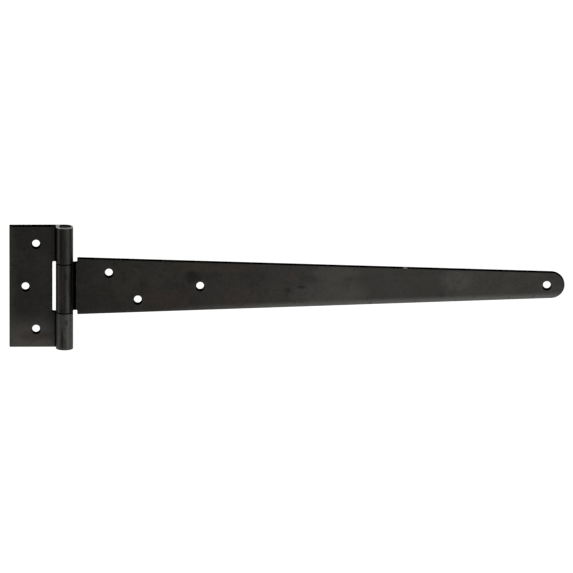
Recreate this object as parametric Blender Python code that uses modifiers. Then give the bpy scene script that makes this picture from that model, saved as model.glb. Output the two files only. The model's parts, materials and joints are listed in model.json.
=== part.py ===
"""A surface-mounted tee hinge: a rectangular leaf, a long tapered strap and the pin they turn on.

Both plates are pressed steel, and each has its knuckles rolled from its own sheet: the sheet runs
flat behind the pin, turns round it and closes with its cut end against the front of its own plate.

X runs along the strap, -Y is the side that shows, +Y is the wall side and Z is up the pin.
The origin is the middle of the leaf's back face. Every piece is drawn round the pin's axis, in
which X = 0 and Y = 0, and then placed there.
"""

import math

import bmesh
import bpy
from mathutils import Vector

MM = 0.001

# Sheet, pin and the clearances between them.
PLATE_THICKNESS = 3.0 * MM
PIN_DIAMETER = 9.5 * MM
PIN_CLEARANCE = 0.1 * MM  # all round the pin, inside the knuckles
KNUCKLE_GAP = 0.7 * MM  # between neighbouring knuckles, along the pin
SEAM_GAP = 0.3 * MM  # between a knuckle's cut end and the plate it closes against
PIN_RECESS = 1.0 * MM  # of each pin end below the end of the barrel
PIN_CHAMFER = 0.5 * MM
HOLE_DIAMETER = 7.0 * MM  # every screw hole

# The leaf.
LEAF_HEIGHT = 113.0 * MM
LEAF_REACH = 49.5 * MM  # from the pin's axis to the free edge
LEAF_HOLE_DROP = 17.0 * MM  # outer holes, from the leaf's top and bottom edges
LEAF_OUTER_SETBACK = 24.0 * MM  # outer holes, from the free edge
LEAF_MIDDLE_SETBACK = 14.5 * MM  # middle hole, from the free edge
SLOT_WIDTH = 2.9 * MM  # daylight between the leaf and the strap's knuckle
SLOT_CORNER = 1.0 * MM

# The strap.
STRAP_LENGTH = 450.0 * MM  # from the pin's axis to the tip
STRAP_KNUCKLE_HEIGHT = 44.6 * MM
SHOULDER_STEP = 4.0 * MM  # how far each shoulder stands above the neck
SHOULDER_SETBACK = 3.65 * MM  # from the side of the barrel to the shoulders
SHOULDER_FILLET = 1.0 * MM
TIP_RADIUS = 12.3 * MM
FIRST_HOLE_SETBACK = 28.5 * MM  # from the shoulders
SECOND_HOLE_PITCH = 26.0 * MM  # along the strap, from the first hole
THIRD_HOLE_PITCH = 56.0 * MM  # along the strap, from the second hole
PAIR_OFFSET = 12.5 * MM  # of the first hole above the middle, and of the second below it
TIP_HOLE_SETBACK = 16.0 * MM  # last hole, from the tip

# How finely round stretches are cut.
ROLL_STEP = math.radians(5)
CORNER_STEP = math.radians(15)
TIP_STEP = math.radians(5)
HOLE_SIDES = 48
PIN_SIDES = 72
SHARP_ANGLE = math.radians(30)
CUT_MARGIN = 5.0 * MM  # how far a cutter runs past what it cuts
WELD_DISTANCE = 0.001 * MM

# What follows from the sizes above.
BORE_RADIUS = PIN_DIAMETER / 2 + PIN_CLEARANCE
BARREL_RADIUS = BORE_RADIUS + PLATE_THICKNESS
PIN_AXIS = Vector((LEAF_REACH / 2, -BARREL_RADIUS, 0))
KNUCKLE_OPENING = STRAP_KNUCKLE_HEIGHT + 2 * KNUCKLE_GAP
SHOULDER_X = BARREL_RADIUS + SHOULDER_SETBACK
STRAP_ROOT_HEIGHT = STRAP_KNUCKLE_HEIGHT + 2 * SHOULDER_STEP

# Finishes: base colour, roughness, metallic.
BLACK_PAINT = ((0.018, 0.0175, 0.0165, 1.0), 0.42, 0.0)
PIN_STEEL = ((0.05, 0.048, 0.045, 1.0), 0.5, 0.7)


def clear_scene():
    for obj in list(bpy.data.objects):
        bpy.data.objects.remove(obj, do_unlink=True)


def new_collection(name):
    collection = bpy.data.collections.new(name)
    bpy.context.scene.collection.children.link(collection)
    return collection


def move_to(obj, collection):
    for holder in list(obj.users_collection):
        holder.objects.unlink(obj)
    collection.objects.link(obj)


def metal(name, colour, roughness, metallic):
    material = bpy.data.materials.new(name)
    material.use_nodes = True
    shader = material.node_tree.nodes["Principled BSDF"]
    shader.inputs["Base Color"].default_value = colour
    shader.inputs["Roughness"].default_value = roughness
    shader.inputs["Metallic"].default_value = metallic
    material.diffuse_color = colour
    return material


def arc(centre, radius, start, end, step):
    """Points round centre from the angle start to the angle end, both included."""
    count = max(2, math.ceil(abs(end - start) / step))
    angles = [start + (end - start) * i / count for i in range(count + 1)]
    return [centre + radius * Vector((math.cos(a), math.sin(a))) for a in angles]


def mirrored(points):
    """The same points below the X axis, in the order that carries an outline on."""
    return [Vector((p.x, -p.y)) for p in reversed(points)]


def prism(name, outline, half_depth):
    """The outline, drawn in XY round the pin's axis, made solid for half_depth to each side."""
    curve = bpy.data.curves.new(name, "CURVE")
    curve.dimensions = "2D"
    curve.fill_mode = "BOTH"
    curve.extrude = half_depth
    spline = curve.splines.new("POLY")
    spline.points.add(len(outline) - 1)
    for point, place in zip(spline.points, outline):
        point.co = (place.x, place.y, 0, 1)
    spline.use_cyclic_u = True
    flat = bpy.data.objects.new(name, curve)
    bpy.context.scene.collection.objects.link(flat)
    graph = bpy.context.evaluated_depsgraph_get()
    mesh = bpy.data.meshes.new_from_object(flat.evaluated_get(graph))
    bpy.data.objects.remove(flat, do_unlink=True)
    weld = bmesh.new()
    weld.from_mesh(mesh)
    bmesh.ops.remove_doubles(weld, verts=weld.verts, dist=WELD_DISTANCE)
    bmesh.ops.recalc_face_normals(weld, faces=weld.faces)
    weld.to_mesh(mesh)
    weld.free()
    solid = bpy.data.objects.new(name, mesh)
    solid.location = PIN_AXIS
    bpy.context.scene.collection.objects.link(solid)
    return solid


def as_cutter(obj, cutters):
    obj.hide_render = True
    obj.display_type = "WIRE"
    move_to(obj, cutters)
    return obj


def front_cutter(name, outline, cutters):
    """A cutter whose outline is seen from the front, in XZ, and which runs right through the barrel."""
    cutter = prism(name, outline, BARREL_RADIUS + CUT_MARGIN)
    cutter.rotation_euler = (math.radians(90), 0, 0)
    return as_cutter(cutter, cutters)


def screw_hole(name, place, cutters):
    """A cutter for a plain hole through the plate, at place in XZ from the pin's axis."""
    mid_plate = BORE_RADIUS + PLATE_THICKNESS / 2
    bpy.ops.mesh.primitive_cylinder_add(
        vertices=HOLE_SIDES,
        radius=HOLE_DIAMETER / 2,
        depth=PLATE_THICKNESS + 2 * CUT_MARGIN,
        location=PIN_AXIS + Vector((place.x, mid_plate, place.y)),
        rotation=(math.radians(90), 0, 0),
    )
    cutter = bpy.context.active_object
    cutter.name = name
    return as_cutter(cutter, cutters)


def cut(obj, cutter, operation="DIFFERENCE"):
    modifier = obj.modifiers.new(cutter.name, "BOOLEAN")
    modifier.operation = operation
    modifier.object = cutter
    modifier.solver = "EXACT"


def rolled_section(side, reach):
    """The sheet seen down the pin: flat for reach towards side (+1 or -1 along X), then rolled."""
    closing = math.acos((BORE_RADIUS - SEAM_GAP) / BARREL_RADIUS)
    wrap = 2 * math.pi - closing
    count = math.ceil(wrap / ROLL_STEP)
    turns = [wrap * i / count for i in range(count + 1)]
    outer = [BARREL_RADIUS * Vector((-side * math.sin(t), math.cos(t))) for t in turns]
    inner = [BORE_RADIUS * Vector((-side * math.sin(t), math.cos(t))) for t in reversed(turns)]
    back_end = Vector((side * reach, BARREL_RADIUS))
    front_end = Vector((side * reach, BORE_RADIUS))
    return [back_end] + outer + inner + [front_end]


def slot_outline():
    """Room for the strap's knuckle, from beyond the barrel to the slot's rounded end in the plate."""
    top = KNUCKLE_OPENING / 2
    edge_x = -(BARREL_RADIUS + SLOT_WIDTH)
    corner = Vector((edge_x + SLOT_CORNER, top - SLOT_CORNER))
    upper = [Vector((BARREL_RADIUS + CUT_MARGIN, top))]
    upper += arc(corner, SLOT_CORNER, math.pi / 2, math.pi, CORNER_STEP)
    return upper + mirrored(upper)


def strap_outline():
    """Knuckle and neck, square shoulders, a straight taper and the round tip that it runs into."""
    neck_z = STRAP_KNUCKLE_HEIGHT / 2
    root_z = STRAP_ROOT_HEIGHT / 2
    tip_x = STRAP_LENGTH - TIP_RADIUS
    run = tip_x - SHOULDER_X
    slope = math.atan2(root_z, run) - math.asin(TIP_RADIUS / math.hypot(root_z, run))
    fillet = Vector((SHOULDER_X - SHOULDER_FILLET, neck_z + SHOULDER_FILLET))
    upper = [Vector((-(BARREL_RADIUS + CUT_MARGIN), neck_z))]
    upper += arc(fillet, SHOULDER_FILLET, -math.pi / 2, 0, CORNER_STEP)
    upper += [Vector((SHOULDER_X, root_z))]
    upper += arc(Vector((tip_x, 0)), TIP_RADIUS, math.pi / 2 - slope, 0, TIP_STEP)
    return upper + mirrored(upper[:-1])


def leaf_holes():
    outer_x = LEAF_OUTER_SETBACK - LEAF_REACH
    outer_z = LEAF_HEIGHT / 2 - LEAF_HOLE_DROP
    middle_x = LEAF_MIDDLE_SETBACK - LEAF_REACH
    return [Vector((outer_x, outer_z)), Vector((middle_x, 0)), Vector((outer_x, -outer_z))]


def strap_holes():
    first_x = SHOULDER_X + FIRST_HOLE_SETBACK
    second_x = first_x + SECOND_HOLE_PITCH
    third_x = second_x + THIRD_HOLE_PITCH
    last_x = STRAP_LENGTH - TIP_HOLE_SETBACK
    pair = [Vector((first_x, PAIR_OFFSET)), Vector((second_x, -PAIR_OFFSET))]
    return pair + [Vector((third_x, 0)), Vector((last_x, 0))]


def make_frame_leaf(parts, cutters, paint):
    """The leaf that is screwed to the frame, with the upper and the lower knuckle."""
    leaf = prism("frame_leaf", rolled_section(-1, LEAF_REACH), LEAF_HEIGHT / 2)
    cut(leaf, front_cutter("knuckle_slot", slot_outline(), cutters))
    for number, place in enumerate(leaf_holes(), start=1):
        cut(leaf, screw_hole(f"leaf_hole_{number}", place, cutters))
    leaf.data.materials.append(paint)
    move_to(leaf, parts)


def make_strap(parts, cutters, paint):
    """The long strap that is screwed to the door, with the middle knuckle. It turns about its origin."""
    blank_height = STRAP_ROOT_HEIGHT + 2 * CUT_MARGIN
    strap = prism("strap", rolled_section(1, STRAP_LENGTH + CUT_MARGIN), blank_height / 2)
    cut(strap, front_cutter("strap_outline", strap_outline(), cutters), "INTERSECT")
    for number, place in enumerate(strap_holes(), start=1):
        cut(strap, screw_hole(f"strap_hole_{number}", place, cutters))
    strap.data.materials.append(paint)
    move_to(strap, parts)


def make_pin(parts, steel):
    bpy.ops.mesh.primitive_cylinder_add(
        vertices=PIN_SIDES,
        radius=PIN_DIAMETER / 2,
        depth=LEAF_HEIGHT - 2 * PIN_RECESS,
        location=PIN_AXIS,
    )
    pin = bpy.context.active_object
    pin.name = "hinge_pin"
    chamfer = pin.modifiers.new("chamfer", "BEVEL")
    chamfer.width = PIN_CHAMFER
    chamfer.segments = 1
    chamfer.limit_method = "ANGLE"
    chamfer.angle_limit = SHARP_ANGLE
    pin.data.materials.append(steel)
    move_to(pin, parts)


def main():
    clear_scene()
    parts = new_collection("tee_hinge")
    cutters = new_collection("cutters")
    paint = metal("black_paint", *BLACK_PAINT)
    make_frame_leaf(parts, cutters, paint)
    make_strap(parts, cutters, paint)
    make_pin(parts, metal("pin_steel", *PIN_STEEL))
    for obj in parts.objects:
        obj.data.shade_smooth()
        obj.data.set_sharp_from_angle(angle=SHARP_ANGLE)


main()
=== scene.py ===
"""A black tee hinge in a plain white studio.

Each plate is made the way the real one is: a flat blank with its holes punched and its edges rolled
over by the shears, whose tabs a node tree then rolls round the pin. Blanks are drawn in u, along the
plate from the pin's axis, and v, up the pin, with the wall side at depth 0.
"""

import json
import math

import bmesh
import bpy
from mathutils import Matrix, Vector
from mathutils.kdtree import KDTree


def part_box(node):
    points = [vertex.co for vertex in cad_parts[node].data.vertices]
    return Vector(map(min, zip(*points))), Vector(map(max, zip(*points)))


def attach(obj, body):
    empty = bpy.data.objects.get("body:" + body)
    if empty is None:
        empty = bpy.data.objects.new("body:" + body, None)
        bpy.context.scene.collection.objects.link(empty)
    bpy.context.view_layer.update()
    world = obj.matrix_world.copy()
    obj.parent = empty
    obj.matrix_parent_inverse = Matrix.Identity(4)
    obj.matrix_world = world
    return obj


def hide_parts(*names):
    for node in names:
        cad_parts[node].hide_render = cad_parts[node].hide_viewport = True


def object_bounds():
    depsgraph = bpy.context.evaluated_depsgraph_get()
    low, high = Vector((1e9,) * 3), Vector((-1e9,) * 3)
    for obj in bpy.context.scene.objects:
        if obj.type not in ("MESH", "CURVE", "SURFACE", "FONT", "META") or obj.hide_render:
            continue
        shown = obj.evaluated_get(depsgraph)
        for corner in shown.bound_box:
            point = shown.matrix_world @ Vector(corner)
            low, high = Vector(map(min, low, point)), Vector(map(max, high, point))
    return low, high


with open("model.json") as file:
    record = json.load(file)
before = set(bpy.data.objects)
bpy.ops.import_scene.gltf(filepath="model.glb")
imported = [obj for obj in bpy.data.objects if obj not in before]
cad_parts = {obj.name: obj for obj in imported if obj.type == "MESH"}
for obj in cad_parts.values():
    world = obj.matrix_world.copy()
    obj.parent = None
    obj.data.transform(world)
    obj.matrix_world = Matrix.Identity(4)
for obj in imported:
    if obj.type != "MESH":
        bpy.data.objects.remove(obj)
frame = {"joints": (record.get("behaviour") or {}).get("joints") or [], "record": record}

CAD_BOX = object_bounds()
MM = 0.001

# Places and sizes that the frame gives.
PIN_AXIS = Vector(frame["joints"][0]["pos_m"])
LEAF_LOW, LEAF_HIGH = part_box("frame_leaf")
STRAP_LOW, STRAP_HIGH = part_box("strap")
PIN_LOW, PIN_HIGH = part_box("hinge_pin")
LEAF_REACH = PIN_AXIS.x - LEAF_LOW.x
LEAF_HEIGHT = LEAF_HIGH.z - LEAF_LOW.z
STRAP_LENGTH = STRAP_HIGH.x - PIN_AXIS.x
STRAP_ROOT_HEIGHT = STRAP_HIGH.z - STRAP_LOW.z
BARREL_RADIUS = -PIN_AXIS.y
PIN_RADIUS = (PIN_HIGH.x - PIN_LOW.x) / 2

# Sheet and pin.
PIN_CLEARANCE = 0.1 * MM
BORE_RADIUS = PIN_RADIUS + PIN_CLEARANCE
SHEET = BARREL_RADIUS - BORE_RADIUS
SEAM_GAP = 0.3 * MM
ROLL_RADIUS = (BARREL_RADIUS + BORE_RADIUS) / 2
ROLL_TURN = 2 * math.pi - math.acos((BORE_RADIUS - SEAM_GAP) / BARREL_RADIUS)
TAB_LENGTH = ROLL_TURN * ROLL_RADIUS
HOLE_RADIUS = 3.5 * MM
PIN_CHAMFER = 0.5 * MM
PIN_DISH = 0.25 * MM  # how far the sheared end of the pin is dished

# Outlines of the blanks.
KNUCKLE_HEIGHT = 44.6 * MM  # the strap's
KNUCKLE_GAP = 0.7 * MM
SLOT_EDGE = BARREL_RADIUS + 2.9 * MM
SLOT_CORNER = 1.0 * MM
SHOULDER = BARREL_RADIUS + 3.65 * MM
SHOULDER_FILLET = 1.0 * MM
TIP_RADIUS = 12.3 * MM
ROOT_V = STRAP_ROOT_HEIGHT / 2
TIP_U = STRAP_LENGTH - TIP_RADIUS
TAPER = math.atan2(ROOT_V, TIP_U - SHOULDER)
TAPER -= math.asin(TIP_RADIUS / math.hypot(ROOT_V, TIP_U - SHOULDER))
BLANK_CORNER = 0.9 * MM
TAB_CORNER = 0.9 * MM

# Edges. The shears round the front a little, leave a small burr behind, and draw the sheet over for
# some way in from the edge. How far and how deep depends on which way the edge faces.
FRONT_ROUND = 0.4 * MM  # round most of an edge
BURR_ROUND = 0.2 * MM
TAB_ROUND = 0.3 * MM
HOLE_ROUNDS = (0.3 * MM, 1.7 * MM)  # at the top of a hole, and at its bottom edge
GUARD = 0.3 * MM  # a flat margin that keeps the rounding's shading off the face
DRAW_FROM = 8.4 * MM  # the plate is drawn over from here on, clear of the barrel
DRAW_FULL = 11.5 * MM
LEAF_DRAW = {"up": (2.2 * MM, 0.3 * MM), "down": (1.2 * MM, 0.08 * MM)}  # width, depth
STRAP_DRAW = {"up": (1.7 * MM, 0.24 * MM), "down": (4.6 * MM, 0.34 * MM)}
LEAF_TOP_ROUND = 1.5 * MM  # an upper edge went through the shears first and is rounded more
STRAP_TOP_ROUND = 1.1 * MM
DRAW_CUTS = (0.5, 1.0, 1.5, 2.2, 3.1, 4.0, 4.8)  # mm from an edge, where the blank gets points
TIP_CUTS = 10
TIP_CUT_PITCH = 1.4 * MM
EDGE_STEPS = 4
EDGE_PITCH = 2.5 * MM
CORNER_STEP = math.radians(9)
CORNER_ROOM = 0.95  # how far an edge's profile may reach in towards a corner's centre
HOLE_SIDES = 64
ROLL_STEP = math.radians(3)
PIN_SIDES = 96
SHANK_RINGS = 10  # in each half of the pin
SHARP_TURN = math.radians(30)
SAME_PLACE = 1e-7  # points closer than this are one point

# Finish zones of a plate's faces.
PAINTED, SHEARED, KNUCKLE_END = 0, 1, 2

SPLIT = KNUCKLE_HEIGHT / 2 / MM + 0.1  # up and down to just inside the gaps between knuckles, in mm


class Wire:
    """A socket of a node tree. Arithmetic on wires adds the Math nodes that work it out."""

    def __init__(self, tree, socket):
        self.tree = tree
        self.socket = socket

    def __add__(self, other):
        return maths(self.tree, "ADD", self, other)

    def __radd__(self, other):
        return maths(self.tree, "ADD", other, self)

    def __sub__(self, other):
        return maths(self.tree, "SUBTRACT", self, other)

    def __rsub__(self, other):
        return maths(self.tree, "SUBTRACT", other, self)

    def __mul__(self, other):
        return maths(self.tree, "MULTIPLY", self, other)

    def __rmul__(self, other):
        return maths(self.tree, "MULTIPLY", other, self)

    def __truediv__(self, other):
        return maths(self.tree, "DIVIDE", self, other)

    def __rtruediv__(self, other):
        return maths(self.tree, "DIVIDE", other, self)

    def __neg__(self):
        return maths(self.tree, "MULTIPLY", self, -1.0)


def add_node(tree, kind, settings=None, sockets=None, out=0):
    """Adds a node: its settings first, then values or wires by socket. Gives back one of its
    outputs, or nothing if it has none."""
    node = tree.nodes.new(kind)
    for name, value in (settings or {}).items():
        setattr(node, name, value)
    for name, value in (sockets or {}).items():
        if isinstance(value, Wire):
            tree.links.new(value.socket, node.inputs[name])
        else:
            node.inputs[name].default_value = value
    return Wire(tree, node.outputs[out]) if node.outputs else None


def every_output(wire):
    """All the outputs of the node that this wire leaves."""
    return [Wire(wire.tree, socket) for socket in wire.socket.node.outputs]


def maths(tree, operation, *values):
    return add_node(tree, "ShaderNodeMath", {"operation": operation}, dict(enumerate(values)))


def grey(level, warmth=0.0):
    """A linear colour of this level, warmer towards brown or, below zero, cooler towards blue."""
    return (level * (1 + warmth * 0.55), level, level * (1 - warmth), 1.0)


def noise(tree, place, size_mm, detail=3.0, roughness=0.55, seed=0.0):
    """Noise whose features are about size_mm across, 0.5 on average."""
    sockets = {"Vector": place, "W": seed, "Scale": 1 / size_mm}
    sockets |= {"Detail": detail, "Roughness": roughness}
    return add_node(tree, "ShaderNodeTexNoise", {"noise_dimensions": "4D"}, sockets)


def ease(tree, value, low, high, at_low=0.0, at_high=1.0):
    """Goes smoothly from at_low to at_high while value goes from low to high, and stays there."""
    sockets = {"Value": value, "From Min": low, "From Max": high, "To Min": at_low, "To Max": at_high}
    return add_node(tree, "ShaderNodeMapRange", {"interpolation_type": "SMOOTHSTEP"}, sockets)


def blend(tree, factor, first, second):
    """Goes from the first colour to the second as the factor goes from 0 to 1."""
    sockets = {0: factor, 6: first, 7: second}
    return add_node(tree, "ShaderNodeMix", {"data_type": "RGBA"}, sockets, out=2)


def clamp(tree, value):
    return add_node(tree, "ShaderNodeClamp", None, {0: value})


def stretch(tree, place, factors):
    return add_node(tree, "ShaderNodeVectorMath", {"operation": "MULTIPLY"}, {0: place, 1: factors})


def bump(tree, height, strength, depth_mm):
    sockets = {"Strength": strength, "Distance": depth_mm * MM, "Height": height}
    return add_node(tree, "ShaderNodeBump", None, sockets)


def new_material(name):
    material = bpy.data.materials.new(name)
    material.use_nodes = True
    tree = material.node_tree
    tree.nodes.clear()
    return material, tree


def finish_surface(tree, sockets):
    surface = add_node(tree, "ShaderNodeBsdfPrincipled", None, sockets)
    add_node(tree, "ShaderNodeOutputMaterial", None, {"Surface": surface})


def place_in_mm(tree):
    where = add_node(tree, "ShaderNodeTexCoord", None, None, out="Object")
    return add_node(tree, "ShaderNodeVectorMath", {"operation": "SCALE"}, {0: where, "Scale": 1 / MM})


def split(tree, vector):
    return every_output(add_node(tree, "ShaderNodeSeparateXYZ", None, {0: vector}))


def band(tree, value, low, high, soft):
    """1 between low and high, 0 outside, with edges this soft."""
    rise = ease(tree, value, low - soft, low + soft)
    return rise * ease(tree, value, high - soft, high + soft, 1.0, 0.0)


def stain(tree, x, z, wobble, mark):
    """A soft mark: (how far along from the pin, how high, half its width, half its height), in mm."""
    along, up, half_width, half_height = mark
    a = (x - (PIN_AXIS.x / MM + along)) / half_width
    b = (z - up) / half_height
    return ease(tree, a * a + b * b + wobble, 0.1, 1.6, 1.0, 0.0)


# Marks on the plates, some of them painted sheen and shade: how far along from the pin, how high, half
# their width and height, in mm.
# Painted sheen: pale patches along the strap where its reflection is brightest.
SHEEN_PATCHES = (
    (238.0, -8.0, 34.0, 15.0),
    (243.0, 12.0, 22.0, 7.0),
    (352.0, 4.0, 14.0, 9.0),
)
BROWN_STAINS = (
    (115.0, 17.5, 12.0, 5.0),
    (93.0, -12.0, 22.0, 9.0),
    (158.0, -11.0, 15.0, 8.5),
    (149.0, 16.0, 26.0, 4.0),
    (206.0, 7.4, 5.0, 6.0),
    (-26.0, -46.0, 16.0, 5.0),
)
DARK_STAINS = (
    (115.0, 8.5, 8.5, 6.0),
    (201.0, -4.6, 3.2, 2.8),
    (213.0, -1.3, 4.0, 1.8),
)
# Scuffed, duller patches, which also darken the strap as painted shade where its sheen dips.
SCUFFS_AND_SHEEN_DIPS = (
    (318.0, 11.5, 20.0, 4.0),
    (326.0, -1.0, 17.0, 8.0),
    (414.0, 2.0, 13.0, 9.0),
    (30.0, -8.0, 16.0, 9.0),
)
EDGE_CHIP = (305.5, 309.0)  # from where to where the strap's upper edge is bare

# The same for the marks on the front of the barrel.
KNUCKLE_RUST = (
    (-2.6, 1.0, 2.4, 17.0),
    (-1.0, -50.0, 3.0, 5.0),
)
# Dark streaks down the knuckles: oil, and painted shade for the dark bands in the barrel's reflection.
KNUCKLE_OIL_AND_SHADE_STREAKS = (
    (-3.4, 42.0, 1.3, 18.0),
    (4.0, 2.0, 1.0, 14.0),
    (1.4, 12.0, 1.3, 4.0),
    (1.8, -31.0, 1.4, 3.0),
    (-2.2, -46.0, 1.0, 9.0),
)

# Linear colours of the paint, of what lies on it, and of painted sheen and shade.
FRESH_PAINT = grey(0.0035, 0.16)
WORN_PAINT = grey(0.0065, 0.16)
LEAF_EDGE_SHEEN = grey(0.016, 0.2)  # painted sheen, lighter towards the leaf's outer edge
TANNED_PAINT = grey(0.0085, 0.28)
# Painted sheen on the strap.
SHEEN_PATCH_GREY = grey(0.026, 0.08)
RUST_TAN = (0.0115, 0.0066, 0.0044, 1.0)
SCUFF_AND_SHADE_PAINT = grey(0.0032, 0.4)
OIL = grey(0.0015)
LEAF_LOWER_SHEEN = grey(0.032, 0.08)
# Painted sheen: lighter greys low on the leaf and along the strap's lower edge, in place of the floor's
# reflection.
STRAP_LOWER_SHEEN = grey(0.05, 0.02)
DUST_FLECK = grey(0.0135, 0.1)
DUST_GRAIN = grey(0.022, 0.03)
DEEP_STREAK = grey(0.0003, 0.1)
PALE_STREAK = grey(0.0065, 0.2)
LOWER_KNUCKLE_FILM = grey(0.026, -0.02)
KNUCKLE_OIL_AND_SHADE = grey(0.0004)
# Painted shade: the black that stands in for the shade in the crevices beside the barrel.
CREVICE_SHADE = grey(0.0003)


def painted_crevice_shade(tree, along, z, fleck):
    """Painted shade: 1 where the crevices beside the barrel are painted black in place of their shade,
    down the strap's neck and where the leaf meets its knuckles, and 1 in a wedge on the knuckle above
    the neck, a painted dark reflection of the neck."""
    ragged = (fleck - 0.5) * 1.8
    neck = band(tree, along + ragged, 5.1, 10.5, 0.25) * band(tree, z, -SPLIT, SPLIT + 0.2, 0.3)
    wedge = band(tree, along - z * 0.11, 3.1, 7.0, 0.4) * band(tree, z, SPLIT - 0.2, 32.0, 0.6)
    seam_place = along + ragged * 0.15
    seam = band(tree, seam_place, -8.75, -6.9, 0.25) * ease(tree, z, SPLIT, SPLIT + 0.6)
    seam += band(tree, seam_place, -8.75, -7.6, 0.25) * ease(tree, z, -SPLIT, -SPLIT - 0.6)
    return clamp(tree, neck + seam + wedge)


def black_paint():
    """Satin black paint: clouded and browned in places, with painted sheen lighter towards the lower
    edges, the leaf's outer edge and in patches along the strap, drawn into streaks on the barrel, with
    painted shade in some scuffs and knuckle streaks, and painted shade in the crevices, black and
    without gloss."""
    material, tree = new_material("satin_black_paint")
    place = place_in_mm(tree)
    x, y, z = split(tree, place)
    along = x - PIN_AXIS.x / MM
    cloud = noise(tree, place, 26, detail=4, seed=3.1)
    brown = noise(tree, place, 34, detail=2, seed=8.7)
    grain = noise(tree, place, 1.5, detail=2, seed=5.0)
    fleck = noise(tree, place, 3.4, detail=3, seed=15.0)
    wobble = (noise(tree, place, 6, detail=3, seed=2.6) - 0.5) * 1.6

    # On the barrel, streaks run up the knuckles, drawn into them by the rolling.
    streak = noise(tree, stretch(tree, place, (1, 1, 0.06)), 1.3, detail=3, seed=9.2)
    on_barrel = ease(tree, y, -4.5, -6.0)

    # Painted sheen: lighter towards the lower end of the leaf, and along the strap's lower edge more and
    # more further along, where the paint reflects the bright floor.
    leaf_lower_sheen = ease(tree, z, -22.0, -50.0) * ease(tree, along, 8.0, 7.0)
    lower_edge = z + ROOT_V / MM - (along - SHOULDER / MM) * math.tan(TAPER)
    strap_lower_sheen = ease(tree, lower_edge, 6.5, 0.0) * ease(tree, along, 60.0, 230.0)
    leaf_edge_sheen = ease(tree, along, -40.0, -50.0)

    colour = blend(tree, ease(tree, cloud, 0.34, 0.68), FRESH_PAINT, WORN_PAINT)
    colour = blend(tree, ease(tree, brown, 0.5, 0.62) * 0.45, colour, TANNED_PAINT)
    # Painted sheen low on the leaf and along the strap's lower edge.
    colour = blend(tree, leaf_lower_sheen * 0.75, colour, LEAF_LOWER_SHEEN)
    colour = blend(tree, strap_lower_sheen * 0.8, colour, STRAP_LOWER_SHEEN)
    # Painted sheen: the leaf is lighter towards its outer edge.
    colour = blend(tree, leaf_edge_sheen * 0.45, colour, LEAF_EDGE_SHEEN)
    # Painted sheen in pale patches along the strap.
    for mark in SHEEN_PATCHES:
        colour = blend(tree, stain(tree, x, z, wobble, mark) * 0.35, colour, SHEEN_PATCH_GREY)
    for mark in BROWN_STAINS:
        colour = blend(tree, stain(tree, x, z, wobble, mark) * 0.6, colour, RUST_TAN)
    dull = [ease(tree, fleck, 0.5, 0.32) * 0.3]  # where the paint has lost its shine
    for mark in DARK_STAINS:
        spot = stain(tree, x, z, wobble, mark)
        colour = blend(tree, spot * 0.8, colour, OIL)
        dull.append(spot * 0.6)
    # Scuffs, and painted shade where the strap's sheen dips.
    for mark in SCUFFS_AND_SHEEN_DIPS:
        spot = stain(tree, x, z, wobble, mark) * ease(tree, fleck, 0.44, 0.58)
        colour = blend(tree, spot * 0.8, colour, SCUFF_AND_SHADE_PAINT)
        dull.append(spot * 0.5)
    colour = blend(tree, ease(tree, fleck, 0.52, 0.7) * 0.25, colour, DUST_FLECK)
    colour = blend(tree, ease(tree, fleck, 0.46, 0.3) * 0.5, colour, OIL)
    colour = blend(tree, ease(tree, grain, 0.6, 0.8) * 0.5, colour, DUST_GRAIN)

    streaks = blend(tree, ease(tree, streak, 0.38, 0.66), DEEP_STREAK, PALE_STREAK)
    colour = blend(tree, on_barrel * 0.85, colour, streaks)
    lower_knuckle = on_barrel * ease(tree, z, -SPLIT, -SPLIT - 0.8)
    mottled = lower_knuckle * ease(tree, fleck, 0.3, 0.6, 0.35, 0.7)
    colour = blend(tree, mottled, colour, LOWER_KNUCKLE_FILM)
    for mark in KNUCKLE_RUST:
        spot = stain(tree, x, z, wobble, mark) * on_barrel
        colour = blend(tree, spot * 0.55, colour, RUST_TAN)
    # Oil, and painted shade for the dark bands in the barrel's reflection.
    for mark in KNUCKLE_OIL_AND_SHADE_STREAKS:
        spot = stain(tree, x, z, wobble, mark) * on_barrel
        colour = blend(tree, spot * 0.7, colour, KNUCKLE_OIL_AND_SHADE)
        dull.append(spot)

    # Painted shade: the crevices beside the barrel are painted black and turned metallic, so they lose
    # their gloss.
    crevice_shade = painted_crevice_shade(tree, along, z, fleck)
    colour = blend(tree, crevice_shade, colour, CREVICE_SHADE)

    peel = noise(tree, place, 0.9, detail=1, seed=1.0)
    height = peel * 0.5 + cloud * 0.8 + grain * 0.3 + streak * on_barrel * 0.5
    sockets = {
        "Base Color": colour,
        "Metallic": clamp(tree, crevice_shade + sum(dull) * 0.4),
        "Roughness": ease(tree, cloud, 0.35, 0.68, 0.32, 0.4) + ease(tree, cloud, 0.5, 0.36) * 0.06,
        "Normal": bump(tree, height, 0.12, 0.12),
        "Specular IOR Level": 0.1,
    }
    finish_surface(tree, sockets)
    return material


def sheared_edge():
    """Where the shears went through: thin matt paint over a rough, blackened face."""
    material, tree = new_material("sheared_black_edge")
    place = place_in_mm(tree)
    tear = noise(tree, place, 0.8, detail=3, seed=2.2)
    colour = blend(tree, ease(tree, tear, 0.4, 0.75), grey(0.0006), grey(0.0022))
    x, y, z = split(tree, place)
    chip = band(tree, x - PIN_AXIS.x / MM + tear * 1.5, *EDGE_CHIP, 0.5) * ease(tree, z, 0.0, 1.0)
    colour = blend(tree, chip, colour, grey(0.12, 0.03))
    sockets = {
        "Base Color": colour,
        "Roughness": ease(tree, tear, 0.3, 0.7, 0.7, 0.85),
        "Normal": bump(tree, tear, 0.3, 0.1),
        "Specular IOR Level": 0.0,
    }
    finish_surface(tree, sockets)
    return material


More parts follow.
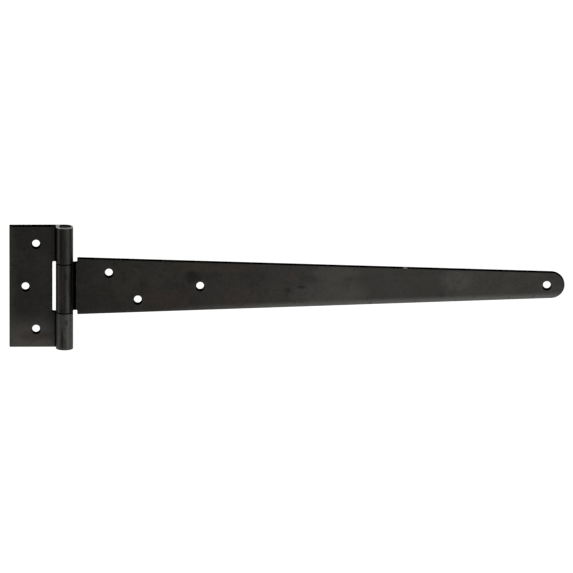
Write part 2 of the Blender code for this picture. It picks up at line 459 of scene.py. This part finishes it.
def knuckle_end():
    """The ends of the knuckles: near black where they face each other, pale grey round the top of the
    barrel, palest at its left and right and grey at its front.
    """
    material, tree = new_material("rubbed_knuckle_end")
    place = place_in_mm(tree)
    x, y, z = split(tree, place)
    along = x - PIN_AXIS.x / MM
    end_mottle = noise(tree, place, 1.8, detail=3, seed=6.3)
    top = LEAF_HEIGHT / 2 / MM
    at_top = ease(tree, z, top - 1.0, top - 0.5)
    left = band(tree, along, -7.6, -4.1, 0.4)
    right = ease(tree, along, 5.6, 6.6)
    front = ease(tree, y, -9.0, -12.0)
    # Pale grey round the top of the barrel: palest at its left and right, grey at the front, mottled.
    pale_rim = clamp(tree, left + right * 0.75 + front * 0.45)
    pale_rim = pale_rim * at_top * ease(tree, end_mottle, 0.2, 0.5, 0.6, 1.0)
    colour = blend(tree, pale_rim, grey(0.0015), grey(0.62))
    sockets = {
        "Base Color": colour,
        "Metallic": pale_rim * 0.3,
        "Roughness": ease(tree, end_mottle, 0.3, 0.7, 0.6, 0.45),
        "Normal": bump(tree, end_mottle, 0.2, 0.08),
        "Specular IOR Level": 0.05,
    }
    finish_surface(tree, sockets)
    return material


def pin_steel():
    """Drawn steel wire, oiled black, with the cut marks of the shears across its ends."""
    material, tree = new_material("oiled_pin_steel")
    place = place_in_mm(tree)
    oil = noise(tree, place, 3.5, detail=3, seed=4.4)
    tear = noise(tree, stretch(tree, place, (0.2, 2, 1)), 1.0, detail=2, seed=7.0)
    colour = blend(tree, ease(tree, oil, 0.35, 0.7), grey(0.05), grey(0.12, 0.04))
    sockets = {
        "Base Color": colour,
        "Metallic": 0.4,
        "Roughness": ease(tree, oil, 0.3, 0.7, 0.45, 0.65),
        "Normal": bump(tree, tear, 0.25, 0.06),
        "Specular IOR Level": 0.2,
    }
    finish_surface(tree, sockets)
    return material


def rounded_outline(corners):
    """(point, outward normal, room inside it) along a closed outline, given as corners (u, v, radius)
    in anticlockwise order."""
    samples = []
    count = len(corners)
    for i, (u, v, radius) in enumerate(corners):
        corner = Vector((u, v))
        before = (corner - Vector(corners[i - 1][:2])).normalized()
        after = (Vector(corners[(i + 1) % count][:2]) - corner).normalized()
        turn = -before.angle_signed(after)
        room = radius * CORNER_ROOM if turn > 0 else math.inf
        cut = radius * math.tan(abs(turn) / 2)
        start = corner - before * cut
        side = math.copysign(1, turn)
        centre = start + side * radius * Vector((-before.y, before.x))
        steps = max(1, math.ceil(abs(turn) / CORNER_STEP))
        begin = math.atan2(start.y - centre.y, start.x - centre.x)
        arc = []
        for k in range(steps + 1):
            angle = begin + turn * k / steps
            spoke = Vector((math.cos(angle), math.sin(angle)))
            arc.append((centre + radius * spoke, side * spoke, room))
        samples.append(arc)
    outline = []
    for i, arc in enumerate(samples):
        outline += arc
        last, normal, room = arc[-1]
        following = samples[(i + 1) % count][0][0]
        run = following - last
        pieces = math.ceil(run.length / EDGE_PITCH)
        outline += [(last + run * k / pieces, normal, math.inf) for k in range(1, pieces)]
    return outline


def leaf_corners():
    """The leaf's blank: a rectangle with the slot cut into its tab end, which leaves two tabs."""
    top = LEAF_HEIGHT / 2
    slot_v = KNUCKLE_HEIGHT / 2 + KNUCKLE_GAP
    upper = [
        (LEAF_REACH, top, BLANK_CORNER),
        (-TAB_LENGTH, top, TAB_CORNER),
        (-TAB_LENGTH, slot_v, TAB_CORNER),
        (SLOT_EDGE, slot_v, SLOT_CORNER),
    ]
    return upper + [(u, -v, radius) for u, v, radius in reversed(upper)]


def strap_corners():
    """The strap's blank: one tab and neck, shoulders, a straight taper and a round tip."""
    neck_v = KNUCKLE_HEIGHT / 2
    upper = [
        (STRAP_LENGTH, ROOT_V - (STRAP_LENGTH - SHOULDER) * math.tan(TAPER), TIP_RADIUS),
        (SHOULDER, ROOT_V, BLANK_CORNER),
        (SHOULDER, neck_v, SHOULDER_FILLET),
        (-TAB_LENGTH, neck_v, TAB_CORNER),
    ]
    return upper + [(u, -v, radius) for u, v, radius in reversed(upper)]


def hole_outline(u, v):
    """A punched hole. Its normals point into the hole, away from the sheet."""
    centre = Vector((u, v))
    spokes = [2 * math.pi * k / HOLE_SIDES for k in range(HOLE_SIDES)]
    spokes = [Vector((math.cos(a), -math.sin(a))) for a in spokes]
    return [(centre + HOLE_RADIUS * spoke, -spoke, math.inf) for spoke in spokes]


def on_plate(u):
    """0 in a tab and at the barrel, 1 on the flat plate, and in between where one meets the other."""
    return min(1.0, max(0.0, (u - DRAW_FROM) / (DRAW_FULL - DRAW_FROM)))


def edge_section(front_round, back_round):
    """(inset, depth) pairs across a cut edge, from the flat back to the flat front."""
    quarter = [math.pi / 2 * k / EDGE_STEPS for k in range(EDGE_STEPS + 1)]
    back = [(back_round * (1 - math.sin(a)), back_round * (1 - math.cos(a))) for a in quarter]
    front = [(1 - math.cos(a), 1 - math.sin(a)) for a in quarter]
    front = [(front_round * inset, SHEET - front_round * drop) for inset, drop in front]
    return [(back_round + GUARD, 0.0)] + back + front + [(front_round + GUARD, SHEET)]


def edge_ring(mesh, outline, section_at):
    """Skins a cut edge along an outline. Gives back its rim on the back face and on the front face."""
    rows = []
    for point, normal, room in outline:
        section = section_at(point.x, normal)
        places = [(point - normal * min(inset, room), depth) for inset, depth in section]
        rows.append([mesh.verts.new((*place, depth)) for place, depth in places])
    zone = mesh.faces.layers.int["finish_zone"]
    for i, row in enumerate(rows):
        following = rows[(i + 1) % len(rows)]
        middle = (row[0].co.x + following[0].co.x) / 2
        faces_down = outline[i][1].y < -0.5
        for k in range(len(row) - 1):
            face = mesh.faces.new((row[k], following[k], following[k + 1], row[k + 1]))
            rounding = k > EDGE_STEPS + 1
            if k == 0 or k == len(row) - 2 or (rounding and faces_down and middle > DRAW_FROM):
                face[zone] = PAINTED
            else:
                face[zone] = SHEARED if middle > BARREL_RADIUS else KNUCKLE_END
    return [row[0] for row in rows], [row[-1] for row in rows]


def fill_flat(mesh, rims):
    """Closes one flat face of the blank, inside its outer rim and round its holes."""
    edges = []
    for rim in rims:
        for a, b in zip(rim, rim[1:] + rim[:1]):
            edges.append(mesh.edges.get((a, b)))
    bmesh.ops.triangle_fill(mesh, use_beauty=True, edges=edges)


def cut_across(mesh, point, normal):
    """Gives the blank a line of points where this plane crosses it."""
    everything = mesh.verts[:] + mesh.edges[:] + mesh.faces[:]
    bmesh.ops.bisect_plane(mesh, geom=everything, dist=SAME_PLACE, plane_co=point, plane_no=normal)


def draw_over(mesh, outline, draw):
    """Lowers the front face towards the outline, by each edge's own width and depth."""
    tree = KDTree(len(outline))
    for number, (point, normal, room) in enumerate(outline):
        tree.insert((*point, 0), number)
    tree.balance()
    for vert in mesh.verts:
        if vert.co.z < SHEET / 2:
            continue
        place = Vector((vert.co.x, vert.co.y, 0))
        point, normal, room = outline[tree.find(place)[1]]
        inset = (point - place.xy).dot(normal)
        share = (1 + normal.y) / 2
        width = draw["down"][0] + (draw["up"][0] - draw["down"][0]) * share
        depth = draw["down"][1] + (draw["up"][1] - draw["down"][1]) * share
        vert.co.z -= depth * max(0.0, 1 - max(0.0, inset) / width) ** 2 * on_plate(vert.co.x)


def rounding(normal, least, most):
    """How much of a cut edge's front is rounded: the most where it faces up."""
    return least + (most - least) * max(0.0, normal.y)


def hole_section(u, normal):
    return edge_section(rounding(normal, *HOLE_ROUNDS), BURR_ROUND)


def stamped_blank(name, corners, holes, taper, draw, top_round):
    """The flat blank as a solid, with its edges drawn over and its tab end cut often enough to roll."""
    mesh = bmesh.new()
    mesh.faces.layers.int.new("finish_zone")

    def outer_section(u, normal):
        share = on_plate(u)
        front = TAB_ROUND + (rounding(normal, FRONT_ROUND, top_round) - TAB_ROUND) * share
        return edge_section(front, TAB_ROUND + (BURR_ROUND - TAB_ROUND) * share)

    outline = rounded_outline(corners)
    rims = [edge_ring(mesh, outline, outer_section)]
    rims += [edge_ring(mesh, hole_outline(u, v), hole_section) for u, v in holes]
    fill_flat(mesh, [back for back, front in rims])
    fill_flat(mesh, [front for back, front in rims])
    end_u, top_v = max(corners)[0], max(v for u, v, radius in corners)
    start_u = SHOULDER if taper else 0.0
    for inset in DRAW_CUTS:
        for side in (1, -1):
            normal = Vector((math.sin(taper), side * math.cos(taper), 0))
            cut_across(mesh, Vector((start_u, side * top_v, 0)) - normal * inset * MM, normal)
    tip_cuts = [end_u - k * TIP_CUT_PITCH for k in range(1, TIP_CUTS + 1)]
    for u in tip_cuts + [DRAW_FROM, DRAW_FULL]:
        cut_across(mesh, Vector((u, 0, 0)), Vector((1, 0, 0)))
    draw_over(mesh, outline, draw)
    folds = math.ceil(ROLL_TURN / ROLL_STEP)
    for k in range(folds):
        cut_across(mesh, Vector((-TAB_LENGTH * k / folds, 0, 0)), Vector((1, 0, 0)))
    data = bpy.data.meshes.new(name)
    mesh.to_mesh(data)
    mesh.free()
    blank = bpy.data.objects.new(name, data)
    bpy.context.scene.collection.objects.link(blank)
    return blank


def roll_tree(materials):
    """Rolls a blank's tabs round the pin, stands the plate in its place and paints each zone."""
    tree = bpy.data.node_groups.new("roll_round_pin", "GeometryNodeTree")
    face = tree.interface
    face.new_socket("Blank", in_out="INPUT", socket_type="NodeSocketGeometry")
    for name in ("Pin X", "Barrel radius", "Sheet", "Side"):
        face.new_socket(name, in_out="INPUT", socket_type="NodeSocketFloat")
    face.new_socket("Plate", in_out="OUTPUT", socket_type="NodeSocketGeometry")
    blank, pin_x, barrel, sheet, side = every_output(add_node(tree, "NodeGroupInput"))[:5]
    u, v, depth = split(tree, add_node(tree, "GeometryNodeInputPosition"))
    roll_radius = barrel - sheet / 2
    turn = maths(tree, "MAXIMUM", -u, 0.0) / roll_radius
    along = maths(tree, "MAXIMUM", u, 0.0)
    radius = barrel - depth
    x = pin_x + side * (along - radius * maths(tree, "SINE", turn))
    y = radius * maths(tree, "COSINE", turn) - barrel
    place = add_node(tree, "ShaderNodeCombineXYZ", None, {"X": x, "Y": y, "Z": v})
    plate = add_node(tree, "GeometryNodeSetPosition", None, {"Geometry": blank, "Position": place})
    plate = add_node(tree, "GeometryNodeRealizeInstances", None, {"Geometry": plate})
    whole_number = {"data_type": "INT"}
    zone = add_node(tree, "GeometryNodeInputNamedAttribute", whole_number, {"Name": "finish_zone"})
    for number, material in enumerate(materials):
        same = whole_number | {"operation": "EQUAL"}
        chosen = add_node(tree, "FunctionNodeCompare", same, {2: zone, 3: number})
        sockets = {"Geometry": plate, "Selection": chosen, "Material": material}
        plate = add_node(tree, "GeometryNodeSetMaterial", None, sockets)
    add_node(tree, "NodeGroupOutput", None, {0: plate})
    return tree


def rolled_plate(blank, tree, side, materials):
    """Runs the roll tree on a blank and gives back a plain, closed mesh object."""
    blank.data.materials.append(materials[PAINTED])
    modifier = blank.modifiers.new("roll", "NODES")
    modifier.node_group = tree
    sizes = {"Pin X": PIN_AXIS.x, "Barrel radius": BARREL_RADIUS, "Sheet": SHEET, "Side": side}
    for item in tree.interface.items_tree:
        if item.in_out == "INPUT" and item.name in sizes:
            modifier[item.identifier] = float(sizes[item.name])
    graph = bpy.context.evaluated_depsgraph_get()
    data = bpy.data.meshes.new_from_object(blank.evaluated_get(graph))
    blank.modifiers.remove(modifier)
    mesh = bmesh.new()
    mesh.from_mesh(data)
    bmesh.ops.remove_doubles(mesh, verts=mesh.verts, dist=SAME_PLACE)
    bmesh.ops.recalc_face_normals(mesh, faces=mesh.faces)
    for face in mesh.faces:
        face.smooth = True
    mesh.to_mesh(data)
    mesh.free()
    old = blank.data
    blank.data = data
    bpy.data.meshes.remove(old)
    return blank


def punched_holes(side):
    """(u, v) of the holes in the plate on this side of the pin, from the frame's stated openings."""
    places = []
    for opening in frame["record"]["physics"]["openings"]:
        low, high = opening["box_m"]
        u = side * ((low[0] + high[0]) / 2 - PIN_AXIS.x)
        if u > 0:
            places.append((u, (low[2] + high[2]) / 2))
    return places


def turned_pin(material):
    """The pin, turned from a profile: chamfered, with a slightly dished end where it was sheared."""
    half = (PIN_HIGH.z - PIN_LOW.z) / 2
    end = [(0.0, half - PIN_DISH), (PIN_RADIUS * 0.45, half - PIN_DISH * 0.8)]
    end += [(PIN_RADIUS * 0.7, half - PIN_DISH * 0.25), (PIN_RADIUS - PIN_CHAMFER, half)]
    end += [(PIN_RADIUS - PIN_CHAMFER * 0.3, half - PIN_CHAMFER * 0.3), (PIN_RADIUS, half - PIN_CHAMFER)]
    shank = [(PIN_RADIUS, half * (1 - k / SHANK_RINGS)) for k in range(1, SHANK_RINGS)]
    profile = end + shank + [(PIN_RADIUS, 0.0)]
    profile += [(r, -z) for r, z in reversed(end + shank)]
    spokes = [2 * math.pi * k / PIN_SIDES for k in range(PIN_SIDES)]
    spokes = [Vector((math.cos(a), math.sin(a), 0)) for a in spokes]
    mesh = bmesh.new()
    rings = []
    for r, z in profile:
        centre = PIN_AXIS + Vector((0, 0, z))
        ring = spokes if r > 0 else spokes[:1]  # one point on the axis, at each end
        rings.append([mesh.verts.new(centre + r * spoke) for spoke in ring])
    for upper, lower in zip(rings, rings[1:]):
        for k in range(PIN_SIDES):
            down = [ring[k % len(ring)] for ring in (upper, lower)]
            back_up = [ring[(k + 1) % len(ring)] for ring in (lower, upper)]
            face = mesh.faces.new(list(dict.fromkeys(down + back_up)))
            face.smooth = True
    data = bpy.data.meshes.new("turned_pin")
    mesh.to_mesh(data)
    mesh.free()
    data.materials.append(material)
    data.set_sharp_from_angle(angle=SHARP_TURN)
    pin = bpy.data.objects.new("turned_pin", data)
    bpy.context.scene.collection.objects.link(pin)
    return pin


def build_hinge():
    plate_finishes = [black_paint(), sheared_edge(), knuckle_end()]
    tree = roll_tree(plate_finishes)
    leaf = stamped_blank(
        "rolled_leaf", leaf_corners(), punched_holes(-1), 0.0, LEAF_DRAW, LEAF_TOP_ROUND
    )
    leaf = rolled_plate(leaf, tree, -1, plate_finishes)
    strap = stamped_blank(
        "rolled_strap", strap_corners(), punched_holes(1), TAPER, STRAP_DRAW, STRAP_TOP_ROUND
    )
    strap = rolled_plate(strap, tree, 1, plate_finishes)
    pin = turned_pin(pin_steel())
    for piece, body, node, slot in (
        (leaf, "frame_side", "frame_leaf", "black_paint"),
        (strap, "door_side", "strap", "black_paint"),
        (pin, "frame_side", "hinge_pin", "pin_steel"),
    ):
        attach(piece, body)
        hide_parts(node)


# The studio.
FLOOR_DROP = 0.6
FLOOR_SIZE = 80.0
FLOOR_GLOW = 1.0  # the floor is a light table
UPPER_SKY = 0.06  # brightness above the horizon, where the studio is dark
LAMP_TINT = (1.0, 0.99, 0.94)  # a little warm
VIEW_AZIMUTH = math.radians(-1.4)
VIEW_ELEVATION = math.radians(14.55)
VIEW_ROLL = math.radians(0.22)
VIEW_TARGET = Vector((224.43 * MM, -3.0 * MM, -0.8 * MM))
VIEW_WIDTH = 515.3 * MM  # what the frame takes in, across the target
LENS = 880.0
SENSOR = 36.0


def build_camera():
    data = bpy.data.cameras.new("camera")
    data.lens = LENS
    data.sensor_width = SENSOR
    data.clip_end = 200.0
    camera = bpy.data.objects.new("camera", data)
    bpy.context.scene.collection.objects.link(camera)
    back = Vector((math.sin(VIEW_AZIMUTH), -math.cos(VIEW_AZIMUTH), math.tan(VIEW_ELEVATION)))
    back.normalize()
    camera.location = VIEW_TARGET + back * (VIEW_WIDTH * LENS / SENSOR)
    camera.rotation_mode = "QUATERNION"
    roll = Matrix.Rotation(VIEW_ROLL, 3, "Z").to_quaternion()
    camera.rotation_quaternion = (-back).to_track_quat("-Z", "Y") @ roll
    bpy.context.scene.camera = camera


def softbox(name, place, target, width, height, power):
    """An area light, which shows in the paint but not to the camera."""
    data = bpy.data.lights.new(name, "AREA")
    data.shape = "RECTANGLE"
    data.size = width
    data.size_y = height
    data.energy = power
    data.color = LAMP_TINT
    light = bpy.data.objects.new(name, data)
    light.location = place
    light.rotation_mode = "QUATERNION"
    light.rotation_quaternion = (Vector(target) - Vector(place)).to_track_quat("-Z", "Y")
    light.visible_camera = False
    bpy.context.scene.collection.objects.link(light)


def build_studio():
    scene = bpy.context.scene
    scene.view_settings.view_transform = "Standard"
    world = bpy.data.worlds.new("studio")
    world.use_nodes = True
    sky = world.node_tree
    direction = add_node(sky, "ShaderNodeTexCoord", None, None, out="Generated")
    height = split(sky, direction)[2]
    level = ease(sky, height, 0.06, 0.2, 1.0, UPPER_SKY)
    sky.links.new(level.socket, sky.nodes["Background"].inputs["Strength"])
    sky.nodes["Background"].inputs["Color"].default_value = (1.0, 1.0, 1.0, 1.0)
    scene.world = world
    mesh = bmesh.new()
    bmesh.ops.create_grid(mesh, x_segments=1, y_segments=1, size=FLOOR_SIZE / 2)
    bmesh.ops.translate(mesh, verts=mesh.verts, vec=(0, 0, CAD_BOX[0].z - FLOOR_DROP))
    data = bpy.data.meshes.new("studio_floor")
    mesh.to_mesh(data)
    mesh.free()
    floor = bpy.data.objects.new("studio_floor", data)
    scene.collection.objects.link(floor)
    material, tree = new_material("pale_floor")
    sockets = {"Base Color": grey(0.85), "Roughness": 0.9, "Specular IOR Level": 0.1}
    sockets |= {"Emission Color": grey(1.0), "Emission Strength": FLOOR_GLOW}
    finish_surface(tree, sockets)
    data.materials.append(material)
    softbox("right", (0.95, -0.75, -0.25), (0.1, 0, 0), 0.35, 0.5, 4.5)
    softbox("left", (-0.9, -0.05, -0.25), (0.0, 0, 0), 0.25, 0.5, 1.8)
    softbox("front", (0.45, -0.7, -0.18), (0.45, 0, 0), 0.4, 0.22, 1.5)
    softbox("low", (0.33, -0.3, -0.5), (0.33, 0, 0), 0.6, 0.2, 4.0)
    softbox("overhead", (0.1, -0.25, 1.2), (0.1, 0, 0), 1.0, 0.6, 8.0)


build_studio()
build_camera()
build_hinge()
